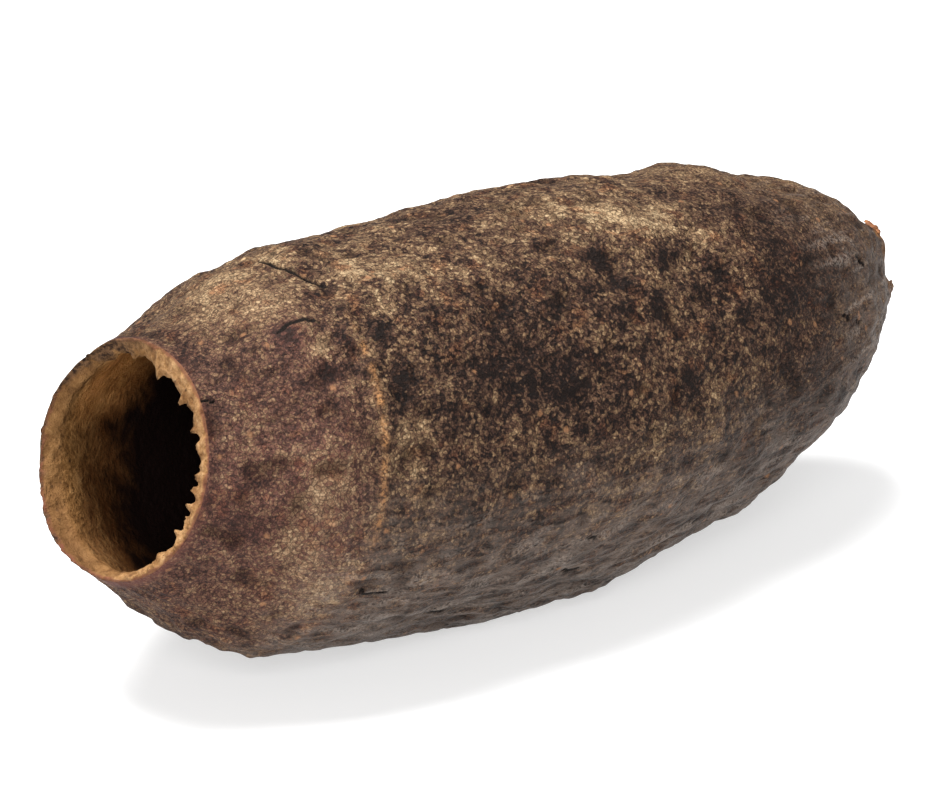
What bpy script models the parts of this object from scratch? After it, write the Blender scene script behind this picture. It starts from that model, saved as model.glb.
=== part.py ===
# A dried jequitiba pod lying on its side: one hollow woody shell with a toothed open mouth.
#
# Lengths are in millimetres and angles in degrees, and MM turns lengths into metres at the end.
# "s" is the distance along the pod from its mouth. "phi" is the angle round it: 0 is the top as
# the pod lies, 90 is its -Y side, 180 is the bottom and 270 is its +Y side.

import math

import bmesh
import bpy
import numpy as np
from mathutils import Vector, noise

MM = 0.001

# The pod's overall form
LENGTH = 95.0
MOUTH_RADIUS = 11.3
BELLY_RADIUS = 20.3
BELLY_AT = 47.5
OUTER_PROFILE = (
    (0.0, MOUTH_RADIUS),
    (4.8, 13.7),
    (11.4, 17.3),
    (20.9, 19.1),
    (34.2, 19.9),
    (BELLY_AT, BELLY_RADIUS),
    (60.8, 18.9),
    (74.1, 16.7),
    (83.6, 13.5),
    (90.2, 9.3),
    (93.7, 5.2),
    (LENGTH, 0.0),
)

# The hollow, from just under the lip to its closed end
WALL = 2.4
BASE_WALL = 4.5
INNER_PROFILE = (
    (1.9, 10.4),
    (6.0, 12.5),
    (11.4, 17.3 - WALL),
    (20.9, 19.1 - WALL),
    (34.2, 19.9 - WALL),
    (BELLY_AT, BELLY_RADIUS - WALL),
    (60.8, 18.9 - WALL),
    (72.0, 14.6),
    (80.0, 12.0),
    (86.0, 8.4),
    (89.2, 4.6),
    (LENGTH - BASE_WALL, 0.0),
)

# The lip, from the skin's edge to the row of teeth and round below it
TOOTH_ROW = (0.25, 9.95)
LIP_PROFILE = (
    (-0.15, 10.95),
    (0.0, 10.45),
    TOOTH_ROW,
    (1.0, 10.05),
)
HOLE_SHIFT = 0.6
HOLE_SHIFT_TOWARDS = 165.0

# On the far side the lip has no ledge: it slopes straight into the wall
FAR_SIDE = 262.0
FAR_SIDE_REACH = 110.0
FAR_SIDE_BLEND = 40.0
LIP_SLOPE = 1.0
LIP_WIDER = 0.7
LIP_SLOPE_FROM = 11.15
LIP_SLOPE_WITHIN = 5.0

# The teeth round the hole: the mesh column that each tip lies on, and its length.
# Between two tips the edge is a round scallop.
COLUMNS = 108
TOOTH_REACH = 0.85
TEETH = (
    (3, 1.1),
    (11, 1.1),
    (17, 0.8),
    (20, 0.5),
    (25, 0.7),
    (27, 0.8),
    (30, 0.9),
    (32, 0.4),
    (35, 0.9),
    (40, 0.6),
    (49, 0.6),
    (54, 0.35),
    (58, 0.5),
    (62, 0.25),
    (68, 0.12),
    (75, 0.1),
    (83, 0.12),
    (92, 0.15),
    (98, 0.25),
    (103, 0.6),
)

# How the pod bends: its ends rise from the middle, the mouth more than the stalk end
BEND = 3.8
BEND_SKEW = -1.9
MOUTH_LEAN = 0.07
MOUTH_LEAN_TOWARDS = 45.0
MOUTH_LEAN_REACH = 11.4

# The section is faintly six-sided, with one edge along this angle
SECTION_EDGES = 6
SECTION_DEPTH = 0.22
SECTION_EDGE_AT = 38.0

# The calyx scar, a low ridge right round the shoulder, on a slant
SCAR_AT = 15.2
SCAR_SLANT = 1.7
SCAR_SLANT_TOWARDS = 20.0
SCAR_SLANT_REACH = 6.0
SCAR_HEIGHT = 0.35
SCAR_WIDTH = 0.75
SCAR_ROWS = (-2.0, -0.75, 0.0, 0.75, 2.0)

# Swellings and dents: place along, angle, height, spread along, spread round. ARC_RADIUS turns
# an angle round the pod into a length, and INNER_SHARE is the part that the inner wall follows.
LUMPS = (
    (19.0, 345.0, 0.45, 3.5, 6.0),
    (6.5, 328.0, -0.8, 4.0, 6.0),
    (15.5, 333.0, -0.35, 2.5, 5.0),
    (26.0, 342.0, -0.3, 5.0, 6.0),
    (10.5, 29.0, 0.5, 2.0, 2.2),
    (12.5, 47.0, -0.5, 1.8, 2.2),
    (10.0, 72.0, 0.35, 2.5, 4.0),
    (9.0, 98.0, -0.3, 3.0, 3.0),
    (12.0, 165.0, 0.4, 6.0, 8.0),
    (7.0, 190.0, 0.6, 3.0, 6.0),
    (17.0, 161.0, 0.35, 2.5, 4.0),
    (19.0, 55.0, -0.35, 3.0, 6.0),
    (30.0, 35.0, 0.3, 7.0, 4.0),
    (45.0, 338.0, -0.3, 12.0, 6.0),
    (90.0, 112.0, -0.4, 3.0, 4.0),
    (91.5, 38.0, 0.45, 3.0, 3.5),
    (49.0, 36.0, -0.45, 2.2, 2.2),
    (57.0, 28.0, 0.45, 5.0, 4.0),
    (73.8, 350.0, 0.4, 2.6, 6.0),
    (81.5, 353.0, -0.8, 3.6, 6.0),
    (67.0, 345.0, -0.45, 6.0, 6.0),
    (67.5, 144.0, 0.85, 5.0, 5.0),
    (88.5, 12.0, 0.6, 3.0, 5.0),
    (60.0, 48.0, -0.35, 2.5, 2.5),
    (44.0, 90.0, 0.3, 8.0, 5.0),
    (66.0, 95.0, -0.35, 6.0, 5.0),
    (78.0, 112.0, 0.5, 6.0, 5.0),
    (29.0, 144.0, -0.75, 7.0, 6.0),
    (42.0, 136.0, -0.3, 4.0, 5.0),
    (50.0, 215.0, 0.5, 9.0, 6.0),
    (25.0, 235.0, -0.5, 6.0, 5.0),
    (70.0, 240.0, -0.5, 7.0, 5.0),
    (38.0, 285.0, 0.5, 8.0, 5.0),
    (60.0, 300.0, -0.45, 6.0, 5.0),
    (14.0, 270.0, 0.4, 5.0, 6.0),
    (82.0, 290.0, 0.4, 5.0, 4.0),
)
INNER_SHARE = 0.6
ARC_RADIUS = 18.0

# Relief fades out towards the stalk end's middle, and to a share of it at the lip
FADE_RADIUS = 7.0
LIP_RELIEF = 0.35
LIP_FADE = 6.0

# Shrinkage: soft folds of the drying shell
FOLD_HEIGHT = 0.42
FOLD_SIZE = (11.0, 6.5)

# The stalk scar: a torn collar round a shallow pit, just off the middle of the closed end
STALK_RADIUS = 4.1
STALK_OFF_CENTRE = 2.2
STALK_TOWARDS = 60.0
STALK_COLLAR = 0.95
STALK_COLLAR_WIDTH = 0.8
STALK_PIT = 1.1
STALK_FROM = 86.0

# The small flat spot that the pod rests on
FLAT_DEPTH = 0.45

# Mesh rows along each stretch of the profile, close together round the stalk scar
OUTER_ROWS = 26
STALK_ROWS = 9
STALK_STRETCH = 0.085
INNER_ROWS = 9


def clear_scene():
    for obj in list(bpy.data.objects):
        bpy.data.objects.remove(obj)


def smooth_line(points, spacing, end_on_axis):
    """Points at even arc lengths on a Catmull-Rom curve through the given ones."""
    knots = [np.array(p) for p in points]
    first = 2 * knots[0] - knots[1]
    last = knots[-2] * (1, -1) if end_on_axis else 2 * knots[-1] - knots[-2]
    knots = [first, *knots, last]
    dense = []
    for p0, p1, p2, p3 in zip(knots, knots[1:], knots[2:], knots[3:]):
        for t in np.linspace(0, 1, 24, endpoint=False):
            dense.append(
                0.5 * (2 * p1 + (p2 - p0) * t + (2 * p0 - 5 * p1 + 4 * p2 - p3) * t**2
                       + (3 * p1 - p0 - 3 * p2 + p3) * t**3)
            )
    dense = np.array([*dense, knots[-2]])
    run = np.concatenate([[0], np.cumsum(np.linalg.norm(np.diff(dense, axis=0), axis=1))])
    at = spacing * run[-1]
    return np.stack([np.interp(at, run, dense[:, 0]), np.interp(at, run, dense[:, 1])], 1)


def profile_points():
    """The whole section: outer wall from the stalk end to the mouth, lip, then inner wall."""
    wall = np.linspace(0, 1 - STALK_STRETCH, OUTER_ROWS, endpoint=False)
    end = np.linspace(1 - STALK_STRETCH, 1, STALK_ROWS)
    outer = smooth_line(OUTER_PROFILE, np.concatenate([wall, end]), True)
    scar = SCAR_AT + np.array(SCAR_ROWS)
    near_scar = np.abs(outer[:, 0] - SCAR_AT) < SCAR_ROWS[-1] + 1.0
    rows = np.stack([scar, np.interp(scar, outer[:, 0], outer[:, 1])], 1)
    outer = np.vstack([outer[~near_scar], rows])
    outer = outer[np.argsort(outer[:, 0])][::-1]
    inner = smooth_line(INNER_PROFILE, np.linspace(0, 1, INNER_ROWS), True)
    return np.vstack([outer, LIP_PROFILE, inner])


def turned_shell():
    """The plain shell, its profile turned about the pod's own straight axis by a Screw."""
    mesh = bpy.data.meshes.new("pod_profile")
    points = [(s * MM, 0.0, r * MM) for s, r in profile_points()]
    mesh.from_pydata(points, [(i, i + 1) for i in range(len(points) - 1)], [])
    source = bpy.data.objects.new("pod_profile", mesh)
    bpy.context.collection.objects.link(source)
    screw = source.modifiers.new("turn", "SCREW")
    screw.axis = "X"
    screw.steps = COLUMNS
    screw.render_steps = COLUMNS
    screw.use_merge_vertices = True
    screw.merge_threshold = 0.00001
    graph = bpy.context.evaluated_depsgraph_get()
    shell = bpy.data.meshes.new_from_object(source.evaluated_get(graph))
    bpy.data.objects.remove(source)
    return shell


def angle_between(phi, towards):
    """The signed angle from one direction round the pod to another, in degrees."""
    return (phi - towards + 180.0) % 360.0 - 180.0


def tooth_length(phi):
    """How far the lip reaches in at each angle: full at each tip, nothing in mid-scallop."""
    columns, lengths = np.array(TEETH).T
    tips = np.concatenate([columns[-1:] - COLUMNS, columns, columns[:1] + COLUMNS])
    lengths = np.concatenate([lengths[-1:], lengths, lengths[:1]])
    column = phi * COLUMNS / 360.0
    after = np.clip(np.searchsorted(tips, column, side="right"), 1, len(tips) - 1)
    before = after - 1
    across = (column - tips[before]) / (tips[after] - tips[before])
    scallop = 1 - np.sqrt(np.clip(1 - (2 * across - 1) ** 2, 0, 1))
    return scallop * (lengths[before] * (1 - across) + lengths[after] * across)


def lump_height(s, phi):
    """All swellings and dents together, at each place."""
    total = np.zeros_like(s)
    for at, towards, height, along, around in LUMPS:
        arc = np.radians(angle_between(phi, towards)) * ARC_RADIUS
        total += height * np.exp(-(((s - at) / along) ** 2) - (arc / around) ** 2)
    return total


def fold_height(points):
    """Soft folds of two sizes, from smooth noise in space."""
    large, small = FOLD_SIZE
    found = []
    for s, y, z in points:
        wide = noise.noise(Vector((s / (2 * large), y / large, z / large + 5)))
        tight = noise.noise(Vector((s / (1.6 * small) + 9, y / small, z / small)))
        found.append(wide + 0.5 * tight)
    return FOLD_HEIGHT * np.array(found)


def stalk_height(r, phi):
    """The torn collar and the pit of the stalk scar."""
    towards = np.radians(STALK_TOWARDS)
    across = r * np.sin(np.radians(phi)) - STALK_OFF_CENTRE * math.sin(towards)
    up = r * np.cos(np.radians(phi)) - STALK_OFF_CENTRE * math.cos(towards)
    out = np.hypot(across, up)
    turn = np.arctan2(across, up)
    torn = 0.7 + 0.3 * np.sin(3 * turn + 0.7) * np.cos(5 * turn)
    collar = STALK_COLLAR * torn * np.exp(-(((out - STALK_RADIUS) / STALK_COLLAR_WIDTH) ** 2))
    pit = STALK_PIT * np.exp(-((out / (0.75 * STALK_RADIUS)) ** 4))
    return collar - pit


def shaped(points):
    """The plain shell's points, in millimetres, moved to the pod's true surface."""
    s, y, z = points.T.copy()
    r = np.hypot(y, z)
    phi = np.degrees(np.arctan2(-y, z)) % 360.0
    dense = np.linspace(0, 1, 400)
    outside, inside = (smooth_line(p, dense, True) for p in (OUTER_PROFILE, INNER_PROFILE))
    outer_r = np.interp(s, outside[:, 0], outside[:, 1])
    inner_r = np.interp(s, inside[:, 0], inside[:, 1])
    skin = np.clip((r - inner_r) / np.maximum(outer_r - inner_r, 0.1), 0, 1)
    skin[s > LENGTH - BASE_WALL + 0.5] = 1
    share = INNER_SHARE + (1 - INNER_SHARE) * skin

    # Relief stands along the normal of a plain egg, and fades out at the lip and the stalk
    lean = (s - BELLY_AT) / BELLY_AT**2
    up = np.maximum(r, 0.5) / BELLY_RADIUS**2
    size = np.hypot(lean, up)
    fade = np.clip(r / FADE_RADIUS, 0, 1) * np.clip(LIP_RELIEF + s / LIP_FADE, 0, 1)
    section = SECTION_DEPTH * np.cos(np.radians(SECTION_EDGES * (phi - SECTION_EDGE_AT)))
    scar_line = SCAR_SLANT * np.cos(np.radians(phi - SCAR_SLANT_TOWARDS))
    scar = skin * SCAR_HEIGHT * np.exp(-(((s - SCAR_AT) / SCAR_WIDTH) ** 2))
    at_end = skin * np.clip((s - STALK_FROM) / 3, 0, 1)
    height = share * fade * (section + lump_height(s, phi) + fold_height(points)) + scar
    height = height + at_end * stalk_height(r, phi)
    new_s = s + height * lean / size
    new_r = np.where(r < 0.01, 0, r + height * up / size)

    # Rows near the calyx scar lean with it, and the mouth leans with its own cut
    new_s = new_s + scar_line * np.exp(-(((s - SCAR_AT) / SCAR_SLANT_REACH) ** 2))
    lean_share = np.clip(1 - s / MOUTH_LEAN_REACH, 0, 1)
    new_s = new_s + MOUTH_LEAN * lean_share * r * np.cos(np.radians(phi - MOUTH_LEAN_TOWARDS))

    # Teeth reach inwards from the lip
    near = np.clip(1 - np.hypot(s - TOOTH_ROW[0], r - TOOTH_ROW[1]) / TOOTH_REACH, 0, 1)
    shift = HOLE_SHIFT * np.cos(np.radians(phi - HOLE_SHIFT_TOWARDS))
    new_r = new_r + near * (shift - tooth_length(phi))
    far = np.clip((FAR_SIDE_REACH - np.abs(angle_between(phi, FAR_SIDE))) / FAR_SIDE_BLEND, 0, 1)
    from_edge = far * np.clip(LIP_SLOPE_FROM - r, 0, 2) * (s < LIP_SLOPE_WITHIN)
    new_s = new_s + LIP_SLOPE * from_edge
    new_r = new_r + LIP_WIDER * from_edge
    return bent(new_s, new_r, phi)


def bent(s, r, phi):
    """Lays each cross-section square to the pod's curved centre line."""
    u = 2 * s / LENGTH - 1
    rise = BEND * u**2 + BEND_SKEW * u**3
    slope = (2 * BEND * u + 3 * BEND_SKEW * u**2) * 2 / LENGTH
    tilt = np.arctan(slope)
    up = r * np.cos(np.radians(phi))
    side = -r * np.sin(np.radians(phi))
    return np.stack([s - up * np.sin(tilt), side, rise + up * np.cos(tilt)], 1)


def settled(points):
    """The points with a flat spot below, and the origin on it under the middle of the pod."""
    floor = points[:, 2].min() + FLAT_DEPTH
    points[:, 2] = np.maximum(points[:, 2], floor)
    low, high = points.min(0), points.max(0)
    middle = (low + high) / 2
    return points - (middle[0], middle[1], floor)


def shell_material():
    material = bpy.data.materials.new("pod_shell")
    material.use_nodes = True
    surface = material.node_tree.nodes["Principled BSDF"]
    surface.inputs["Base Color"].default_value = (0.082, 0.052, 0.035, 1)
    surface.inputs["Roughness"].default_value = 0.72
    surface.inputs["Metallic"].default_value = 0.0
    return material


def make_pod():
    mesh = turned_shell()
    points = np.empty(len(mesh.vertices) * 3)
    mesh.vertices.foreach_get("co", points)
    points = settled(shaped(points.reshape(-1, 3) / MM)) * MM
    mesh.vertices.foreach_set("co", points.ravel())
    form = bmesh.new()
    form.from_mesh(mesh)
    bmesh.ops.remove_doubles(form, verts=form.verts, dist=0.00002)
    bmesh.ops.triangulate(form, faces=form.faces)
    bmesh.ops.recalc_face_normals(form, faces=form.faces)
    form.to_mesh(mesh)
    form.free()
    mesh.shade_smooth()
    mesh.set_sharp_from_angle(angle=math.radians(50))
    mesh.materials.append(shell_material())
    pod = bpy.data.objects.new("pod", mesh)
    collection = bpy.data.collections.new("jequitiba_pod")
    bpy.context.scene.collection.children.link(collection)
    collection.objects.link(pod)
    return pod


clear_scene()
make_pod()
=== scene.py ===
# The looks of the dried jequitiba pod: a fine mesh of its shell, its skin and its torn stalk scar.
#
# The form follows the same named values as the solid, in millimetres and degrees: "s" is the
# distance along the pod from its mouth, and "phi" the angle round it, with 0 at the top and 90 at
# the -Y side. MM turns lengths into metres.

import math
import random

import bmesh
import bpy
import numpy as np
from mathutils import Matrix, Vector, noise


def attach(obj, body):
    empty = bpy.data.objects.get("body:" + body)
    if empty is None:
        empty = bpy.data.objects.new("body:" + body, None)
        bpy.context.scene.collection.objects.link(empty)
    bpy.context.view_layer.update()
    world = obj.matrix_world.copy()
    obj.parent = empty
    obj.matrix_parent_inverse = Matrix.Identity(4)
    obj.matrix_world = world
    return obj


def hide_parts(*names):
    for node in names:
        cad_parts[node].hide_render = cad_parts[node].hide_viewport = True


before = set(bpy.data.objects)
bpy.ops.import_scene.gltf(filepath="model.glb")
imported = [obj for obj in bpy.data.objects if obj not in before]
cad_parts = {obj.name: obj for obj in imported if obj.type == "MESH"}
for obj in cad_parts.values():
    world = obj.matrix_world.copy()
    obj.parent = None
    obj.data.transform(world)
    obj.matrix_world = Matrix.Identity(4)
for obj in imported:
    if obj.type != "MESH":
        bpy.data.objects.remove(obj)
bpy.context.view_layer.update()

MM = 0.001

# The pod's overall form
LENGTH = 95.0
MOUTH_RADIUS = 11.3
BELLY_RADIUS = 20.3
BELLY_AT = 47.5
OUTER_PROFILE = (
    (0.0, MOUTH_RADIUS),
    (4.8, 13.7),
    (11.4, 17.3),
    (20.9, 19.1),
    (34.2, 19.9),
    (BELLY_AT, BELLY_RADIUS),
    (60.8, 18.9),
    (74.1, 16.7),
    (83.6, 13.5),
    (90.2, 9.3),
    (93.7, 5.2),
    (LENGTH, 0.0),
)

# The hollow, from just under the lip to its closed end
WALL = 2.4
BASE_WALL = 4.5
INNER_PROFILE = (
    (1.9, 10.4),
    (6.0, 12.5),
    (11.4, 17.3 - WALL),
    (20.9, 19.1 - WALL),
    (34.2, 19.9 - WALL),
    (BELLY_AT, BELLY_RADIUS - WALL),
    (60.8, 18.9 - WALL),
    (72.0, 14.6),
    (80.0, 12.0),
    (86.0, 8.4),
    (89.2, 4.6),
    (LENGTH - BASE_WALL, 0.0),
)

# The lip, from the skin's edge to the row of teeth and round below it
TOOTH_ROW = (0.25, 9.95)
LIP_PROFILE = (
    (-0.08, 11.15),
    (-0.16, 10.95),
    (-0.12, 10.7),
    (0.0, 10.45),
    (0.1, 10.2),
    TOOTH_ROW,
    (0.55, 9.95),
    (1.0, 10.05),
    (1.45, 10.2),
)
HOLE_SHIFT = 0.6
HOLE_SHIFT_TOWARDS = 165.0

# On the far side the lip has no ledge: it slopes straight into the wall
FAR_SIDE = 262.0
FAR_SIDE_REACH = 110.0
FAR_SIDE_BLEND = 40.0
LIP_SLOPE = 1.0
LIP_WIDER = 0.7
LIP_SLOPE_FROM = 11.15
LIP_SLOPE_WITHIN = 5.0

# The teeth round the hole: the step round it that each tip lies on, and its length
TOOTH_STEPS = 108
TOOTH_REACH = 0.85
TOOTH_TIP = 0.22
TEETH = (
    (3, 1.1),
    (11, 1.1),
    (17, 0.8),
    (20, 0.5),
    (25, 0.7),
    (27, 0.8),
    (30, 0.9),
    (32, 0.4),
    (35, 0.9),
    (40, 0.6),
    (49, 0.6),
    (54, 0.35),
    (58, 0.5),
    (62, 0.25),
    (68, 0.12),
    (75, 0.1),
    (83, 0.12),
    (92, 0.15),
    (98, 0.25),
    (103, 0.6),
)

# How the pod bends, and how its mouth leans
BEND = 3.8
BEND_SKEW = -1.9
MOUTH_LEAN = 0.07
MOUTH_LEAN_TOWARDS = 45.0
MOUTH_LEAN_REACH = 11.4

# The faintly six-sided section
SECTION_EDGES = 6
SECTION_DEPTH = 0.22
SECTION_EDGE_AT = 38.0

# The calyx scar, a low ridge right round the shoulder, on a slant
SCAR_AT = 15.2
SCAR_SLANT = 1.7
SCAR_SLANT_TOWARDS = 20.0
SCAR_SLANT_REACH = 6.0
SCAR_HEIGHT = 0.35
SCAR_WIDTH = 0.75

# Swellings and dents: place along, angle, height, spread along, spread round. ARC_RADIUS turns
# an angle round the pod into a length, and INNER_SHARE is the part that the inner wall follows.
ARC_RADIUS = 18.0
LUMPS = (
    (19.0, 345.0, 0.45, 3.5, 6.0),
    (6.5, 328.0, -0.8, 4.0, 6.0),
    (15.5, 333.0, -0.35, 2.5, 5.0),
    (26.0, 342.0, -0.3, 5.0, 6.0),
    (10.5, 29.0, 0.5, 2.0, 2.2),
    (12.5, 47.0, -0.5, 1.8, 2.2),
    (10.0, 72.0, 0.35, 2.5, 4.0),
    (9.0, 98.0, -0.3, 3.0, 3.0),
    (12.0, 165.0, 0.4, 6.0, 8.0),
    (7.0, 190.0, 0.6, 3.0, 6.0),
    (17.0, 161.0, 0.35, 2.5, 4.0),
    (19.0, 55.0, -0.35, 3.0, 6.0),
    (30.0, 35.0, 0.3, 7.0, 4.0),
    (45.0, 338.0, -0.3, 12.0, 6.0),
    (90.0, 112.0, -0.4, 3.0, 4.0),
    (91.5, 38.0, 0.45, 3.0, 3.5),
    (49.0, 36.0, -0.45, 2.2, 2.2),
    (57.0, 28.0, 0.45, 5.0, 4.0),
    (73.8, 350.0, 0.4, 2.6, 6.0),
    (81.5, 353.0, -0.8, 3.6, 6.0),
    (67.0, 345.0, -0.45, 6.0, 6.0),
    (67.5, 144.0, 0.85, 5.0, 5.0),
    (88.5, 12.0, 0.6, 3.0, 5.0),
    (60.0, 48.0, -0.35, 2.5, 2.5),
    (44.0, 90.0, 0.3, 8.0, 5.0),
    (66.0, 95.0, -0.35, 6.0, 5.0),
    (78.0, 112.0, 0.5, 6.0, 5.0),
    (29.0, 144.0, -0.75, 7.0, 6.0),
    (42.0, 136.0, -0.3, 4.0, 5.0),
    (50.0, 215.0, 0.5, 9.0, 6.0),
    (25.0, 235.0, -0.5, 6.0, 5.0),
    (70.0, 240.0, -0.5, 7.0, 5.0),
    (38.0, 285.0, 0.5, 8.0, 5.0),
    (60.0, 300.0, -0.45, 6.0, 5.0),
    (14.0, 270.0, 0.4, 5.0, 6.0),
    (82.0, 290.0, 0.4, 5.0, 4.0),
)
INNER_SHARE = 0.6

# Relief fades out towards the stalk end's middle, and to a share of it at the lip
FADE_RADIUS = 7.0
LIP_RELIEF = 0.35
LIP_FADE = 6.0

# Shrinkage: soft folds of the drying shell
FOLD_HEIGHT = 0.42
FOLD_SIZE = (11.0, 6.5)

# The stalk scar: a torn collar round a shallow pit
STALK_RADIUS = 4.1
STALK_OFF_CENTRE = 2.2
STALK_TOWARDS = 60.0
STALK_COLLAR = 0.95
STALK_COLLAR_WIDTH = 0.8
STALK_PIT = 1.1
STALK_FROM = 86.0

# The flat spot that the pod rests on
FLAT_DEPTH = 0.45

# The fine mesh
COLUMNS = 324
OUTER_ROWS = 236
INNER_ROWS = 48

# Fine relief of the skin: height, size along the pod, size round it, seed
WRINKLES = (
    (0.30, 5.0, 2.8, 11),
    (0.20, 2.4, 1.5, 23),
    (0.13, 1.2, 1.0, 37),
)
PIT_DEPTH = 0.8
PIT_SIZE = 2.4
PIT_FROM = 0.3
RELIEF_SUNK = 0.09

# The lower side, wrinkled lengthwise as the stalk end is too, and given a painted grey sheen
UNDER_TOWARDS = 175.0
UNDER_REACH = 95.0
UNDER_BLEND = 45.0
UNDER_WRINKLES = ((0.26, 5.0, 1.5, 61), (0.2, 2.4, 0.8, 67))
UNDER_SUNK = 0.07
END_FURROWS = 0.7
END_FURROWS_AT = 82.0
END_FURROWS_REACH = 6.5

# Fine relief of the inner wall
RIPPLE_HEIGHT = 0.22
SPECK_HEIGHT = 0.08

# The lip's roughness, along the pod and across it, and how far from its edge it reaches
LIP_ROUGHNESS = 0.36
LIP_BUMPS = 0.17
LIP_BAND = 1.4

# Cracks: width, depth, and the places (s, phi) that each runs through. Those on the narrow start
# of the neck are measured out on the mouth's radius.
NARROW_NECK = 8.0
CRACKS = (
    (0.32, 0.70, ((16.8, 348.0), (16.5, 356.0), (17.1, 4.0), (17.3, 11.0), (18.0, 14.5))),
    (0.14, 0.30, ((0.4, 45.0), (1.0, 45.3), (1.9, 46.8))),
    (0.24, 0.22, ((9.6, 29.0), (10.8, 27.2), (12.4, 28.0), (13.6, 29.6))),
    (0.20, 0.40, ((16.4, 118.6), (16.9, 120.3), (17.5, 119.8), (18.3, 120.6), (19.2, 119.6))),
    (0.28, 0.45, ((84.1, 55.5), (84.9, 58.0), (85.6, 60.5))),
    (0.22, 0.35, ((79.2, 75.5), (79.9, 78.5))),
    (0.22, 0.35, ((81.3, 80.0), (82.0, 82.0))),
    (0.22, 0.35, ((58.2, 128.6), (59.4, 129.4))),
    (0.22, 0.35, ((38.3, 123.4), (39.7, 124.4))),
    (0.24, 0.40, ((41.0, 127.5), (41.8, 128.6), (42.7, 128.2))),
    (0.22, 0.35, ((41.2, 111.4), (42.3, 112.8))),
    (0.25, 0.35, ((27.6, 138.6), (29.4, 139.4))),
    (0.25, 0.40, ((40.0, 205.0), (43.0, 207.0), (45.0, 206.0))),
    (0.25, 0.40, ((15.8, 262.0), (16.2, 270.0), (15.9, 280.0))),
    (0.25, 0.35, ((70.0, 300.0), (74.0, 302.0))),
)

# The neck, and the direction that its purple side and the pod's front face
NECK_END = 17.0
NECK_BLEND = 5.0
FRONT = 95.0

# The skin's soft clouds of tone: amount, size along the pod, size round it, shift
CLOUDS = ((0.14, 11.0, 7.0, 40.0), (0.10, 4.0, 3.0, 0.0))

# Where the skin is paler (above 0) or darker: place along, angle, amount, spread along, round
TONES = (
    (58.5, 26.0, 0.42, 5.5, 3.4),
    (54.3, 20.0, 0.25, 3.0, 2.4),
    (12.1, 38.0, 0.40, 1.5, 1.7),
    (12.0, 16.0, 0.22, 2.2, 2.4),
    (7.5, 12.0, 0.26, 4.0, 4.0),
    (12.0, 352.0, 0.25, 5.0, 4.0),
    (21.9, 12.0, 0.28, 2.0, 1.8),
    (26.0, 16.0, 0.20, 6.0, 2.8),
    (20.5, 30.0, 0.25, 1.6, 2.0),
    (10.3, 84.0, 0.30, 1.7, 3.2),
    (8.0, 102.0, 0.25, 1.7, 2.6),
    (13.3, 122.0, 0.38, 1.8, 4.6),
    (20.0, 80.0, 0.25, 2.2, 4.0),
    (48.5, 8.0, 0.15, 7.0, 4.0),
    (34.0, 57.0, -0.30, 13.0, 6.5),
    (61.0, 52.0, -0.25, 3.5, 3.5),
    (75.0, 60.0, -0.22, 9.0, 8.0),
    (68.0, 105.0, -0.12, 8.0, 7.0),
    (38.0, 352.0, -0.12, 9.0, 5.0),
    (8.5, 125.0, 0.14, 5.0, 8.0),
    (10.0, 85.0, 0.10, 4.0, 9.0),
    (19.9, 38.0, -0.55, 1.2, 1.2),
    (19.5, 52.0, -0.40, 1.6, 1.2),
    (49.6, 32.5, -0.60, 1.5, 1.2),
    (57.6, 37.5, -0.60, 1.8, 0.9),
    (49.6, 42.0, -0.40, 1.4, 1.2),
    (52.7, 50.0, -0.45, 1.4, 1.2),
    (61.0, 83.0, -0.35, 1.2, 1.2),
    (54.0, 75.0, -0.35, 1.4, 1.2),
    (38.0, 70.0, -0.35, 1.5, 1.2),
    (12.5, 46.0, -0.55, 1.4, 1.2),
    (15.0, 36.0, -0.30, 1.4, 1.8),
    (30.0, 210.0, 0.35, 7.0, 5.0),
    (66.0, 262.0, 0.35, 6.0, 5.0),
    (22.0, 300.0, 0.30, 4.0, 5.0),
    (48.0, 250.0, -0.35, 9.0, 6.0),
    (80.0, 200.0, -0.30, 6.0, 6.0),
    (42.0, 330.0, 0.20, 9.0, 4.0),
)
PURPLE_SPOT = (10.0, 32.0, 1.3, 1.5)

# The upper side is paler by painted light, the neck is paler than the rest, and the lower side is
# darker by painted shade
UPPER_SIDE = 350.0
UPPER_PAINTED_LIGHT = 0.12
NECK_PALER = 0.03
UNDER_PAINTED_SHADE = 0.16

# The ochre line along the calyx scar: its width, the direction round which it is clear and how far
# to each side, and the direction where it is worn away
SCAR_LINE = 0.36
SCAR_SEEN_TOWARDS = 68.0
SCAR_SEEN = 36.0
SCAR_WORN_AT = 10.0

# Pale lengthwise threads of worn skin at the stalk end and below: length, and how many round it
THREAD_LENGTH = 6.0
THREAD_COUNT = 20.0

# The skin takes a painted grey sheen and is worn past WORN_FROM, and its grain is finer past
# CALM_FROM
WORN_FROM = 74.0
CALM_FROM = 62.0

# Inside the mouth: the upper wall that is given painted light, the darker lowest stretch, and the
# line round the lip
CEILING_FROM = 266.0
CEILING_TO = 20.0
LOW_TOWARDS = 206.0
LINE_RADIUS = 11.0

# Tufts of torn wood round the stalk scar, scattered apart from those with a given angle round it,
# length and width
SHARD_RINGS = 5
SHARD_SIDES = 5
SHARDS = 20
SHARD_SEED = 4
FRESH_SHARDS = ((3.0, 0.34, 0.9), (10.0, 0.45, 1.0), (18.0, 0.55, 1.05), (26.0, 0.45, 0.9))
OLD_SHARDS = ((100.0, 0.3, 0.5), (104.0, 0.36, 0.55), (108.0, 0.3, 0.45))

# The photograph's frame and camera, fitted to the pod's outline, mouth and scar
IMAGE_WIDTH = 936
FOCAL_PIXELS = 5851.0
SENSOR_WIDTH = 36.0
CAMERA_AZIMUTH = -41.2
CAMERA_ELEVATION = 21.0
CAMERA_DISTANCE = 570.0
CAMERA_ASIDE = -3.94
CAMERA_ABOVE = -0.35

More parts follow.
